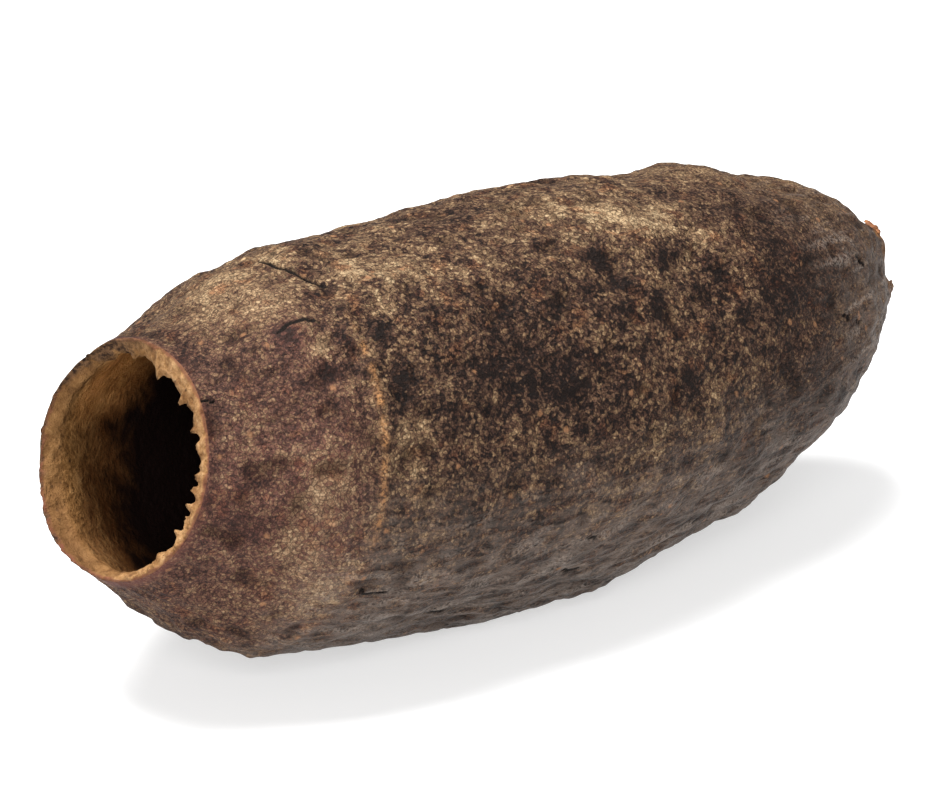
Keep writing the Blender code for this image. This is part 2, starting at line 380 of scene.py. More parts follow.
# The stage: the floor's width in metres and the strength of the even light
FLOOR_SIZE = 6.0
ROOM_LIGHT = 0.35


def smooth_line(points, spacing):
    """Points at the given shares of the arc length of a Catmull-Rom curve that ends on the axis."""
    knots = [np.array(p) for p in points]
    first = 2 * knots[0] - knots[1]
    last = knots[-2] * (1, -1)
    knots = [first, *knots, last]
    dense = []
    for p0, p1, p2, p3 in zip(knots, knots[1:], knots[2:], knots[3:]):
        for t in np.linspace(0, 1, 24, endpoint=False):
            dense.append(
                0.5 * (2 * p1 + (p2 - p0) * t + (2 * p0 - 5 * p1 + 4 * p2 - p3) * t**2
                       + (3 * p1 - p0 - 3 * p2 + p3) * t**3)
            )
    dense = np.array([*dense, knots[-2]])
    run = np.concatenate([[0], np.cumsum(np.linalg.norm(np.diff(dense, axis=0), axis=1))])
    at = spacing * run[-1]
    return np.stack([np.interp(at, run, dense[:, 0]), np.interp(at, run, dense[:, 1])], 1)


def outer_rows():
    """The outer wall's rows, closer together at the mouth, the calyx scar and the stalk end."""
    share = np.linspace(0, 1, 2000)
    s = smooth_line(OUTER_PROFILE, share)[:, 0]
    density = 1 + 1.4 * np.exp(-((s / 1.6) ** 2)) + 1.0 * np.exp(-(((s - SCAR_AT - 1) / 3) ** 2))
    density = density + 0.7 * (s > STALK_FROM)
    run = np.cumsum(density)
    wanted = np.linspace(run[0], run[-1], OUTER_ROWS)
    return smooth_line(OUTER_PROFILE, np.interp(wanted, run, share))


def angle_between(phi, towards):
    """The signed angle from one direction round the pod to another, in degrees."""
    return (phi - towards + 180.0) % 360.0 - 180.0


def rising(value, start, over):
    """0 up to start, then rising evenly to 1 over the given length."""
    return np.clip((value - start) / over, 0, 1)


def falling(value, end, over):
    """1 at first, then falling evenly over the given length to 0 at end."""
    return np.clip((end - value) / over, 0, 1)


def hump(value, at, spread):
    """1 at one value, falling softly to 0 away from it."""
    return np.exp(-(((value - at) / spread) ** 2))


def facing(phi, towards, spread):
    """1 in one direction round the pod, falling softly to 0 away from it."""
    return hump(angle_between(phi, towards), 0, spread)


def bell(s, phi, at, towards, along, around):
    """1 at one place on the pod's surface, falling to 0 away from it."""
    arc = np.radians(angle_between(phi, towards)) * ARC_RADIUS
    return np.exp(-(((s - at) / along) ** 2) - (arc / around) ** 2)


def noise_at(x, y, z):
    """Smooth noise at each point, between about -1 and 1."""
    return np.array([noise.noise(Vector(p)) for p in zip(x, y, z)])


def across_and_up(r, phi):
    """The y and z of a place on the pod before it is bent."""
    turn = np.radians(phi)
    return -r * np.sin(turn), r * np.cos(turn)


def tooth_length(phi):
    """How far the lip reaches in at each angle: full at each tip, nothing in mid-scallop."""
    columns, lengths = np.array(TEETH).T
    tips = np.concatenate([columns[-1:] - TOOTH_STEPS, columns, columns[:1] + TOOTH_STEPS])
    lengths = np.concatenate([lengths[-1:], lengths, lengths[:1]])
    column = phi * TOOTH_STEPS / 360.0
    after = np.clip(np.searchsorted(tips, column, side="right"), 1, len(tips) - 1)
    before = after - 1
    across = (column - tips[before]) / (tips[after] - tips[before])
    half = (tips[after] - tips[before]) * math.pi * TOOTH_ROW[1] / TOOTH_STEPS
    from_tip = np.maximum(half * (1 - np.abs(2 * across - 1)) - TOOTH_TIP, 0) / half
    scallop = 1 - np.sqrt(np.clip(1 - (1 - from_tip) ** 2, 0, 1))
    return scallop * (lengths[before] * (1 - across) + lengths[after] * across)


def far_share(phi):
    """1 on the far side of the mouth, where the lip has no ledge."""
    return falling(np.abs(angle_between(phi, FAR_SIDE)), FAR_SIDE_REACH, FAR_SIDE_BLEND)


def lump_height(s, phi):
    """All swellings and dents together."""
    total = np.zeros_like(s)
    for at, towards, height, along, around in LUMPS:
        total += height * bell(s, phi, at, towards, along, around)
    return total


def fold_height(s, y, z):
    """Soft folds of two sizes."""
    large, small = FOLD_SIZE
    wide = noise_at(s / (2 * large), y / large, z / large + 5)
    tight = noise_at(s / (1.6 * small) + 9, y / small, z / small)
    return FOLD_HEIGHT * (wide + 0.5 * tight)


def stalk_place(r, phi):
    """Distance and direction from the middle of the stalk scar."""
    towards = np.radians(STALK_TOWARDS)
    across = r * np.sin(np.radians(phi)) - STALK_OFF_CENTRE * math.sin(towards)
    up = r * np.cos(np.radians(phi)) - STALK_OFF_CENTRE * math.cos(towards)
    return np.hypot(across, up), np.arctan2(across, up)


def stalk_height(r, phi):
    """The torn collar and the pit of the stalk scar."""
    out, turn = stalk_place(r, phi)
    torn = 0.7 + 0.3 * np.sin(3 * turn + 0.7) * np.cos(5 * turn)
    collar = STALK_COLLAR * torn * hump(out, STALK_RADIUS, STALK_COLLAR_WIDTH)
    pit = STALK_PIT * np.exp(-((out / (0.75 * STALK_RADIUS)) ** 4))
    return collar - pit


def place_along(s, r, phi):
    """The place along the pod after the slant of the calyx scar and the lean of the mouth."""
    slant = SCAR_SLANT * np.cos(np.radians(phi - SCAR_SLANT_TOWARDS))
    moved = s + slant * hump(s, SCAR_AT, SCAR_SLANT_REACH)
    lean = np.clip(1 - s / MOUTH_LEAN_REACH, 0, 1) * np.cos(np.radians(phi - MOUTH_LEAN_TOWARDS))
    return moved + MOUTH_LEAN * lean * r


def crack_share(s, phi):
    """(1 in the middle of a crack and 0 away from one, its depth there), at each place."""
    share, depth = np.zeros_like(s), np.zeros_like(s)
    for width, deep, places in CRACKS:
        for (s0, phi0), (s1, phi1) in zip(places, places[1:]):
            radius = ARC_RADIUS if s0 > NARROW_NECK else MOUTH_RADIUS
            across = np.radians(angle_between(phi, phi0)) * radius
            run, turn = s1 - s0, math.radians(angle_between(phi1, phi0)) * radius
            t = np.clip(((s - s0) * run + across * turn) / (run**2 + turn**2), 0, 1)
            away = np.hypot(s - s0 - t * run, across - t * turn)
            here = hump(away, 0, width)
            depth = np.maximum(depth, deep * here)
            share = np.maximum(share, here)
    return share, depth


def under_share(phi):
    """1 on the pod's lower side: wrinkled lengthwise, with painted shade and a painted grey sheen.
    """
    return falling(np.abs(angle_between(phi, UNDER_TOWARDS)), UNDER_REACH, UNDER_BLEND)


def neck_share(along):
    """1 on the neck and 0 past the calyx scar."""
    return falling(along, NECK_END, NECK_BLEND)


def pit_noise(s, y, z):
    """The noise that both the depth of the pits and their dark colour follow; the colour is partly
    dark spots and partly painted shade.
    """
    return noise_at(s / PIT_SIZE, y / PIT_SIZE + 50, z / PIT_SIZE)


def fine_relief(s, y, z, phi):
    """Wrinkles, pits and grain of the dried skin."""
    near_end = hump(s, END_FURROWS_AT, END_FURROWS_REACH)
    furrowed = np.maximum(under_share(phi), END_FURROWS * near_end)
    total = -RELIEF_SUNK - UNDER_SUNK * furrowed
    for height, along, around, seed in WRINKLES:
        total += height * noise_at(s / along + seed, y / around, z / around)
    for height, along, around, seed in UNDER_WRINKLES:
        total += height * furrowed * noise_at(s / along + seed, y / around, z / around)
    return total - PIT_DEPTH * np.clip(pit_noise(s, y, z) - PIT_FROM, 0, 1)


def inner_relief(s, y, z):
    """The inner wall's soft ripples and specks."""
    ripples = noise_at(s / 3.0 + 70, y / 2.2, z / 2.2)
    specks = noise_at(s / 1.1, y / 1.1 + 20, z / 1.1)
    return RIPPLE_HEIGHT * ripples + SPECK_HEIGHT * specks


def bent(s, r, phi):
    """Lays each cross-section square to the pod's curved centre line."""
    u = 2 * s / LENGTH - 1
    rise = BEND * u**2 + BEND_SKEW * u**3
    slope = (2 * BEND * u + 3 * BEND_SKEW * u**2) * 2 / LENGTH
    tilt = np.arctan(slope)
    side, up = across_and_up(r, phi)
    return np.stack([s - up * np.sin(tilt), side, rise + up * np.cos(tilt)], 1)


def skin_share(s, r):
    """1 on the outer skin and 0 on the inner wall."""
    dense = np.linspace(0, 1, 400)
    outside, inside = (smooth_line(p, dense) for p in (OUTER_PROFILE, INNER_PROFILE))
    outer_r = np.interp(s, outside[:, 0], outside[:, 1])
    inner_r = np.interp(s, inside[:, 0], inside[:, 1])
    skin = np.clip((r - inner_r) / np.maximum(outer_r - inner_r, 0.1), 0, 1)
    skin[s > LENGTH - BASE_WALL + 0.5] = 1
    return skin


def skin_detail(s, r, phi, skin):
    """The height that only this fine mesh shows: wrinkles and cracks outside, ripples inside."""
    y, z = across_and_up(r, phi)
    along = place_along(s, r, phi)
    near_lip = np.clip((along - 0.2) / 1.2, 0.25, 1)
    outside = near_lip * fine_relief(s, y, z, phi) - crack_share(along, phi)[1]
    inside = inner_relief(s, y, z) * rising(s, 0, 4)
    off_axis = r > 0.01
    return (np.where((skin > 0.98) & off_axis, outside, 0)
            - np.where((skin < 0.02) & off_axis, inside, 0))


def toothed(s, r, new_s, new_r, phi):
    """Teeth that reach inwards from the lip, and the ledge's slope on the far side."""
    near = np.clip(1 - np.hypot(s - TOOTH_ROW[0], r - TOOTH_ROW[1]) / TOOTH_REACH, 0, 1)
    shift = HOLE_SHIFT * np.cos(np.radians(phi - HOLE_SHIFT_TOWARDS))
    new_r = new_r + near * (shift - tooth_length(phi))
    from_edge = far_share(phi) * np.clip(LIP_SLOPE_FROM - r, 0, 2) * (s < LIP_SLOPE_WITHIN)
    return new_s + LIP_SLOPE * from_edge, new_r + LIP_WIDER * from_edge


def roughened(s, r, new_s, new_r, phi):
    """The lip's rough, fibrous edge."""
    y, z = across_and_up(r, phi)
    on_lip = np.clip(1 - np.abs(s - 0.3) / LIP_BAND, 0, 1) * (r < MOUTH_RADIUS - 0.05)
    rough = noise_at(y / 0.9, z / 0.9, s / 0.9 + 31) + 0.6 * noise_at(y / 0.45, z / 0.45, s)
    bumps = noise_at(y / 0.6 + 8, z / 0.6, s / 0.6) + 1.2 * noise_at(y / 1.4, z / 1.4 + 4, s)
    return new_s - LIP_ROUGHNESS * on_lip * rough, new_r + LIP_BUMPS * on_lip * bumps


def shaped(s, r, phi, fine):
    """The pod's surface from its plain turned form. fine adds what only this mesh can show."""
    y, z = across_and_up(r, phi)
    skin = skin_share(s, r)
    share = INNER_SHARE + (1 - INNER_SHARE) * skin
    lean = (s - BELLY_AT) / BELLY_AT**2
    up = np.maximum(r, 0.5) / BELLY_RADIUS**2
    size = np.hypot(lean, up)
    fade = np.clip(r / FADE_RADIUS, 0, 1) * np.clip(LIP_RELIEF + s / LIP_FADE, 0, 1)
    section = SECTION_DEPTH * np.cos(np.radians(SECTION_EDGES * (phi - SECTION_EDGE_AT)))
    height = share * fade * (section + lump_height(s, phi) + fold_height(s, y, z))
    scar = skin * SCAR_HEIGHT * hump(s, SCAR_AT, SCAR_WIDTH)
    if fine:
        broken = noise_at(phi / 9.0, s * 0, s * 0 + 3)
        height = height + scar * (0.4 + 0.4 * broken) + skin_detail(s, r, phi, skin)
    else:
        height = height + scar
    height = height + skin * rising(s, STALK_FROM, 3) * stalk_height(r, phi)
    new_s = s + height * lean / size
    new_r = np.where(r < 0.01, 0, r + height * up / size)
    new_s = new_s + place_along(s, r, phi) - s
    new_s, new_r = toothed(s, r, new_s, new_r, phi)
    if fine:
        new_s, new_r = roughened(s, r, new_s, new_r, phi)
    return bent(new_s, new_r, phi)


def pod_grid():
    """(s, r, phi) of every point of the fine mesh, row by row, and the first row of the lip."""
    outer = outer_rows()[::-1]
    inner = smooth_line(INNER_PROFILE, np.linspace(0, 1, INNER_ROWS))
    rows = np.vstack([outer, LIP_PROFILE, inner])
    phi = np.arange(COLUMNS) * 360.0 / COLUMNS
    s = np.repeat(rows[:, 0], COLUMNS)
    r = np.repeat(rows[:, 1], COLUMNS)
    return s, r, np.tile(phi, len(rows)), len(rows), len(outer)


def settle_move(points):
    """How the solid's own frame lies: its box's middle over the flat spot below the pod."""
    floor = points[:, 2].min() + FLAT_DEPTH
    level = points.copy()
    level[:, 2] = np.maximum(level[:, 2], floor)
    middle = (level.min(0) + level.max(0)) / 2
    return np.array([middle[0], middle[1], floor])


def grid_faces(rows):
    """Quads between neighbouring rows, with triangles round the two poles."""
    faces = []
    for row in range(rows - 1):
        for column in range(COLUMNS):
            a = row * COLUMNS + column
            b = row * COLUMNS + (column + 1) % COLUMNS
            c, d = b + COLUMNS, a + COLUMNS
            if row == 0:
                faces.append((0, c, d))
            elif row == rows - 2:
                faces.append((a, b, (rows - 1) * COLUMNS))
            else:
                faces.append((a, b, c, d))
    return faces


def add_field(mesh, name, values):
    field = mesh.attributes.new(name, "FLOAT", "POINT")
    field.data.foreach_set("value", np.clip(values, -2, 2).astype(np.float32))


def skin_tone(along, y, z, phi):
    """How pale each place of the skin is, above 0 paler and below 0 darker, with painted light on
    the upper side and painted shade on the lower side.
    """
    tone = 0.0
    for amount, length, around, shift in CLOUDS:
        tone = tone + amount * noise_at(along / length, y / around, z / around + shift)
    for at, towards, amount, spread, around in TONES:
        tone = tone + amount * bell(along, phi, at, towards, spread, around)
    # Painted light makes the upper side paler, and painted shade makes the lower side darker.
    painted_lit_upper = falling(np.abs(angle_between(phi, UPPER_SIDE)), 60, 60) * rising(along, 0, 18)
    neck = neck_share(along)
    tone = tone + UPPER_PAINTED_LIGHT * painted_lit_upper + NECK_PALER * neck
    return tone - UNDER_PAINTED_SHADE * under_share(phi) * (1 - neck)


def scar_line(s, phi):
    """The ochre line along the calyx scar, broken and in places worn away."""
    flat = np.zeros_like(s)
    broken = np.clip(0.5 + 1.1 * noise_at(phi / 4.0, flat + 9, flat), 0, 1)
    seen = falling(np.abs(angle_between(phi, SCAR_SEEN_TOWARDS)), SCAR_SEEN, 16)
    worn = np.clip(np.abs(angle_between(phi, SCAR_WORN_AT)) / 15 - 0.8, 0, 1)
    return (0.15 + 0.85 * seen) * worn * broken * hump(s, SCAR_AT, SCAR_LINE)


def paint_skin(mesh, s, r, phi):
    """The fields that the skin's material reads."""
    along = place_along(s, r, phi)
    y, z = across_and_up(r, phi)
    neck = neck_share(along)
    spot = bell(along, phi, *PURPLE_SPOT)
    add_field(mesh, "tone", skin_tone(along, y, z, phi) - 0.3 * spot)
    purple_side = falling(np.abs(angle_between(phi, FRONT)), 108, 90)
    add_field(mesh, "purple", np.clip(neck * purple_side + spot, 0, 1))

    # Painted sheen: grey over the lower side and the front of the stalk end, a painted reflection
    # of the pale floor and a painted highlight.
    under = under_share(phi) * rising(along, 8, 10)
    at_end = facing(phi, FRONT, 45) * rising(along, WORN_FROM, 12)
    add_field(mesh, "painted_grey_sheen", np.maximum(under, 0.8 * at_end))
    turn = np.radians(phi)
    around = (THREAD_COUNT * np.cos(turn), THREAD_COUNT * np.sin(turn))
    threads = noise_at(along / THREAD_LENGTH, *around) + 0.5 * noise_at(along, y, z)
    worn = np.maximum(facing(phi, FRONT + 5, 80) * rising(along, WORN_FROM, 8), 0.8 * under)
    add_field(mesh, "thread", rising(threads, 0.1, 0.3) * worn)

    add_field(mesh, "scar", scar_line(s, phi))
    # Where the cracks are painted near black as shade.
    add_field(mesh, "crack", crack_share(along, phi)[0] * (skin_share(s, r) > 0.98))
    add_field(mesh, "edge", hump(along, 0, 0.7))
    # Dark colour in the pits: partly the skin's dark spots, partly painted shade.
    add_field(mesh, "pit", rising(pit_noise(s, y, z), 0.22, 0.3))
    calm = np.maximum(rising(along, CALM_FROM, 18), 0.7 * under_share(phi) * (1 - neck))
    add_field(mesh, "calm", np.maximum(calm, 0.6 * neck))
    ragged = stalk_place(r, phi)[0] + 0.5 * noise_at(y / 1.2, z / 1.2, s)
    add_field(mesh, "torn", falling(ragged, STALK_RADIUS + 0.9, 0.5) * (s > STALK_FROM))


def paint_mouth(mesh, s, r, phi):
    """The fields that the material of the lip and the inner wall reads."""
    y, z = across_and_up(r, phi)
    far = far_share(phi)
    on_rim = (s < 0.3) & (r < MOUTH_RADIUS + 0.01)
    add_field(mesh, "ledge", 1 - far)
    # Painted shade just inside the mouth on the far side.
    add_field(mesh, "painted_shade_far_rim", far * falling(s, 1.6, 1.2))

    # Painted light on the upper inner wall near the mouth.
    painted_lit_upper = rising(angle_between(phi, CEILING_FROM), 0, 22) * (angle_between(phi, CEILING_TO) < 0)
    add_field(mesh, "painted_light_ceiling", painted_lit_upper * rising(s, 1.5, 4) * falling(s, 17, 8))
    # How far into the hollow each place is: the wall darkens inwards, to near black as painted
    # shade.
    add_field(mesh, "deep", rising(s, 3.0 + 7.0 * painted_lit_upper, 16))
    add_field(mesh, "low", facing(phi, LOW_TOWARDS, 24) * falling(s, 9, 4))

    width = 0.4 + facing(phi, 335, 38)
    width = np.where(angle_between(phi, 35) > 0, 0.25, width)
    inner_edge = MOUTH_RADIUS - width - 0.4 * noise_at(y / 0.8, z / 0.8, s)
    add_field(mesh, "crust", rising(r, inner_edge, 0.2) * on_rim * np.maximum(far, 0.3))
    inner_edge = LINE_RADIUS - 0.3 * far - 0.1 * noise_at(y / 0.7, z / 0.7, s + 3)
    add_field(mesh, "line", rising(r, inner_edge, 0.12) * on_rim)


def srgb(red, green, blue):
    """A colour given as 0 to 255 screen values, as the linear values that shaders take."""
    values = [v / 255 for v in (red, green, blue)]
    linear = [v / 12.92 if v < 0.04045 else ((v + 0.055) / 1.055) ** 2.4 for v in values]
    return (*linear, 1.0)


class Shader:
    """Builds one material's nodes: each method adds a node and returns its output."""

    def __init__(self, name):
        self.material = bpy.data.materials.new(name)
        self.material.use_nodes = True
        self.tree = self.material.node_tree
        self.surface = self.tree.nodes["Principled BSDF"]
        place = self.tree.nodes.new("ShaderNodeTexCoord").outputs["Object"]
        self.place = self.scaled(place, (1 / MM, 1 / MM, 1 / MM))

    def put(self, socket, value):
        if isinstance(value, bpy.types.NodeSocket):
            self.tree.links.new(value, socket)
        else:
            socket.default_value = value

    def vector(self, operation, first, second):
        node = self.tree.nodes.new("ShaderNodeVectorMath")
        node.operation = operation
        self.put(node.inputs[0], first)
        self.put(node.inputs[1], second)
        return node.outputs[0]

    def scaled(self, place, factors):
        return self.vector("MULTIPLY", place, factors)

    def warped(self, size, reach):
        """The place, moved about by up to half of reach millimetres by noise of this size."""
        node = self.tree.nodes.new("ShaderNodeTexNoise")
        self.put(node.inputs["Vector"], self.place)
        node.inputs["Scale"].default_value = 1 / size
        push = self.vector("SUBTRACT", node.outputs["Color"], (0.5, 0.5, 0.5))
        return self.vector("ADD", self.place, self.scaled(push, (2 * reach, 2 * reach, 2 * reach)))

    def field(self, name):
        node = self.tree.nodes.new("ShaderNodeAttribute")
        node.attribute_name = name
        return node.outputs["Fac"]

    def noise(self, size, detail=3.0, roughness=0.6, stretch=1.0, distortion=0.0):
        """Noise whose features are about size millimetres, longer along the pod by stretch."""
        node = self.tree.nodes.new("ShaderNodeTexNoise")
        self.put(node.inputs["Vector"], self.scaled(self.place, (1 / stretch, 1, 1)))
        node.inputs["Scale"].default_value = 1 / size
        node.inputs["Detail"].default_value = detail
        node.inputs["Roughness"].default_value = roughness
        node.inputs["Distortion"].default_value = distortion
        return node.outputs["Fac"]

    def dots(self, size):
        """Distance from the nearest of scattered points, in units of their spacing."""
        node = self.tree.nodes.new("ShaderNodeTexVoronoi")
        self.put(node.inputs["Vector"], self.place)
        node.inputs["Scale"].default_value = 1 / size
        return node.outputs["Distance"], node.outputs["Color"]

    def scales(self, place, size):
        """Small angular scales: a random value for each, and the distance from its edge."""
        inner = self.tree.nodes.new("ShaderNodeTexVoronoi")
        edges = self.tree.nodes.new("ShaderNodeTexVoronoi")
        edges.feature = "DISTANCE_TO_EDGE"
        for node in (inner, edges):
            self.put(node.inputs["Vector"], place)
            node.inputs["Scale"].default_value = 1 / size
        split = self.tree.nodes.new("ShaderNodeSeparateColor")
        self.put(split.inputs["Color"], inner.outputs["Color"])
        return split.outputs["Red"], edges.outputs["Distance"]

    def maths(self, operation, first, second=0.0, clamp=False):
        node = self.tree.nodes.new("ShaderNodeMath")
        node.operation = operation
        node.use_clamp = clamp
        self.put(node.inputs[0], first)
        self.put(node.inputs[1], second)
        return node.outputs[0]

    def weighed(self, *parts):
        """The sum of values from 0 to 1, each taken about its middle and given its weight."""
        total = 0.0
        for value, weight in parts:
            part = self.product(self.maths("SUBTRACT", value, 0.5), weight)
            total = self.maths("ADD", part, total)
        return total

    def span(self, value, low, high, to_low=0.0, to_high=1.0):
        """value from low to high, as to_low to to_high, smoothly and clamped."""
        node = self.tree.nodes.new("ShaderNodeMapRange")
        node.interpolation_type = "SMOOTHSTEP"
        self.put(node.inputs["Value"], value)
        for name, number in (("From Min", low), ("From Max", high),
                             ("To Min", to_low), ("To Max", to_high)):
            node.inputs[name].default_value = number
        return node.outputs["Result"]

    def mixed(self, share, first, second, blend="MIX"):
        node = self.tree.nodes.new("ShaderNodeMix")
        node.data_type = "RGBA"
        node.blend_type = blend
        self.put(node.inputs[0], share)
        self.put(node.inputs[6], first)
        self.put(node.inputs[7], second)
        return node.outputs[2]

    def tinted(self, share, colour, factors):
        """The colour, multiplied by factors where share is 1."""
        return self.mixed(share, colour, self.mixed(1.0, colour, (*factors, 1), "MULTIPLY"))

    def product(self, first, second):
        return self.maths("MULTIPLY", first, second)

    def ramp(self, value, stops):
        node = self.tree.nodes.new("ShaderNodeValToRGB")
        elements = node.color_ramp.elements
        elements[0].position, elements[0].color = stops[0]
        elements[1].position, elements[1].color = stops[-1]
        for position, colour in stops[1:-1]:
            elements.new(position).color = colour
        self.put(node.inputs["Fac"], value)
        return node.outputs["Color"]

    def bump(self, height, distance, normal=None):
        """Small relief: height from 0 to 1 stands for distance millimetres."""
        node = self.tree.nodes.new("ShaderNodeBump")
        node.inputs["Distance"].default_value = distance * MM
        self.put(node.inputs["Height"], height)
        if normal is not None:
            self.put(node.inputs["Normal"], normal)
        return node.outputs["Normal"]


def bark_shade(k, fine, grain):
    """How pale each small scale of the bark is, and the darker gaps between the scales."""
    clumps = k.noise(2.4, 4.0, 0.68, distortion=0.5)
    place = k.warped(0.9, 0.28)
    pick, gap = k.scales(place, 0.44)
    pick_small, gap_small = k.scales(place, 0.23)
    calm = k.field("calm")
    coarse = k.weighed((clumps, 1.5), (pick, 0.5), (grain, 0.55))
    coarse = k.product(coarse, k.span(calm, 0.0, 1.0, 1.0, 0.36))
    small = k.weighed((pick_small, 0.34), (fine, 0.66))
    small = k.product(small, k.span(calm, 0.0, 1.0, 1.0, 1.1))
    shade = k.maths("ADD", k.maths("ADD", coarse, small), k.product(k.field("tone"), 0.9))
    gaps = k.product(k.span(gap, 0.0, 0.15, 0.36, 1.0), k.span(gap_small, 0.0, 0.14, 0.66, 1.0))
    return k.maths("ADD", shade, 0.355), gaps


def stained(k, colour, shade):
    """The bark's colour with reddish and bluish stains, and with the neck's purple."""
    reddish = k.span(k.noise(2.6, 2.0, 0.6), 0.54, 0.70, 0.0, 0.8)
    colour = k.tinted(reddish, colour, (0.95, 0.70, 0.60))
    purple = k.product(k.field("purple"), k.span(shade, 0.3, 0.75, 1.0, 0.15))
    colour = k.tinted(purple, colour, (1.12, 0.84, 0.98))
    haze = k.product(k.field("purple"), 0.12)
    colour = k.mixed(haze, colour, srgb(98, 76, 68))
    bluish = k.span(k.noise(5.0, 3.0, 0.6, distortion=0.6), 0.52, 0.66, 0.0, 0.35)
    return k.tinted(bluish, colour, (0.80, 0.83, 0.86))


def worn_with_painted_sheen_and_shade(k, colour, fine, streaks):
    """Painted grey sheen in streaks below, pale worn threads, dark blots, and pits darkened partly
    by painted shade.
    """
    # Painted sheen: a grey painted reflection of the pale floor, in streaks, on the lower side and
    # the stalk end.
    painted_grey_sheen = k.product(k.field("painted_grey_sheen"), k.span(streaks, 0.38, 0.62, 0.1, 0.68))
    colour = k.mixed(painted_grey_sheen, colour, srgb(108, 95, 86))
    thread = k.product(k.field("thread"), k.span(fine, 0.38, 0.6, 0.0, 0.62))
    colour = k.mixed(thread, colour, srgb(142, 130, 120))
    blots = k.span(k.noise(1.7, 3.0, 0.6, distortion=0.8), 0.58, 0.70, 0.0, 0.6)
    # Dark blots of the skin, and dark pits that are partly painted shade.
    dark = k.maths("MAXIMUM", blots, k.product(k.field("pit"), 0.75))
    return k.tinted(dark, colour, (0.36, 0.31, 0.29))


def speckled(k, colour, fine):
    """Scattered brown lenticels with uneven edges, and a few grains of pale dust."""
    distance, pick = k.dots(2.6)
    uneven = k.maths("ADD", distance, k.product(k.maths("SUBTRACT", fine, 0.5), 0.22))
    lenticel = k.product(k.span(uneven, 0.06, 0.16, 0.6, 0.0), k.span(pick, 0.55, 0.6))
    colour = k.mixed(lenticel, colour, srgb(146, 104, 72))
    distance, pick = k.dots(4.3)
    dust = k.product(k.span(distance, 0.02, 0.035, 1.0, 0.0), k.span(pick, 0.6, 0.62))
    return k.mixed(dust, colour, srgb(206, 200, 190))


def marked(k, colour, fine, lip_edge):
    """The ochre scar line, the reddish edge at the lip, painted shade in the cracks, and the torn
    stalk scar.
    """
    scar = k.maths("MULTIPLY", k.field("scar"), k.span(fine, 0.40, 0.58, 0.15, 1.0), clamp=True)
    colour = k.mixed(scar, colour, srgb(168, 120, 76))
    colour = k.mixed(lip_edge, colour, srgb(92, 54, 46))
    # Painted shade: near black in the cracks.
    colour = k.mixed(k.span(k.field("crack"), 0.2, 0.6), colour, srgb(14, 7, 4))
    fibres = k.noise(0.5, 4.0, 0.7, distortion=1.0)
    wood = k.ramp(
        fibres,
        (
            (0.3, srgb(46, 30, 20)),
            (0.5, srgb(98, 66, 40)),
            (0.7, srgb(150, 112, 76)),
        ),
    )
    return k.mixed(k.field("torn"), colour, wood)


def skin_material():
    """Dark brown bark under a crackle of small tan scales, purplish on the neck, with a painted
    grey sheen below.
    """
    k = Shader("pod_skin")
    fine = k.noise(0.30, 2.0, 0.65)
    grain = k.noise(0.8, 4.0, 0.7)
    streaks = k.noise(0.8, 3.0, 0.6, stretch=4.0)
    lip_edge = k.product(k.field("edge"), 0.6)
    shade, gaps = bark_shade(k, fine, grain)
    colour = k.ramp(
        shade,
        (
            (0.0, srgb(24, 14, 10)),
            (0.22, srgb(59, 39, 30)),
            (0.42, srgb(87, 64, 48)),
            (0.60, srgb(111, 87, 63)),
            (0.80, srgb(137, 111, 83)),
            (1.0, srgb(166, 141, 108)),
        ),
    )
    colour = k.mixed(1.0, colour, gaps, "MULTIPLY")
    colour = stained(k, colour, shade)
    colour = worn_with_painted_sheen_and_shade(k, colour, fine, streaks)
    colour = speckled(k, colour, fine)
    colour = marked(k, colour, fine, lip_edge)
    k.put(k.surface.inputs["Base Color"], colour)
    k.put(k.surface.inputs["Roughness"], k.span(k.field("painted_grey_sheen"), 0.0, 1.0, 0.72, 0.5))
    k.surface.inputs["Specular IOR Level"].default_value = 0.12

    furrows = k.product(streaks, k.maths("ADD", k.field("painted_grey_sheen"), 0.35))
    normal = k.bump(furrows, 0.8)
    normal = k.bump(grain, 0.35, normal)
    normal = k.bump(k.span(lip_edge, 0.0, 0.2), 0.06, normal)
    normal = k.bump(fine, 0.2, normal)
    k.put(k.surface.inputs["Normal"], normal)
    return k.material


def wood_colour(k, both):
    """The bare wood of the wall, and the brighter wood of the lip's ledge."""
    wall = k.ramp(
        both,
        (
            (0.34, srgb(74, 48, 24)),
            (0.46, srgb(112, 78, 42)),
            (0.56, srgb(142, 104, 62)),
            (0.70, srgb(166, 128, 84)),
        ),
    )
    lip = k.ramp(
        both,
        (
            (0.34, srgb(74, 46, 26)),
            (0.44, srgb(118, 84, 50)),
            (0.54, srgb(148, 112, 74)),
            (0.70, srgb(180, 146, 106)),
        ),
    )
    return k.mixed(k.field("ledge"), wall, lip)


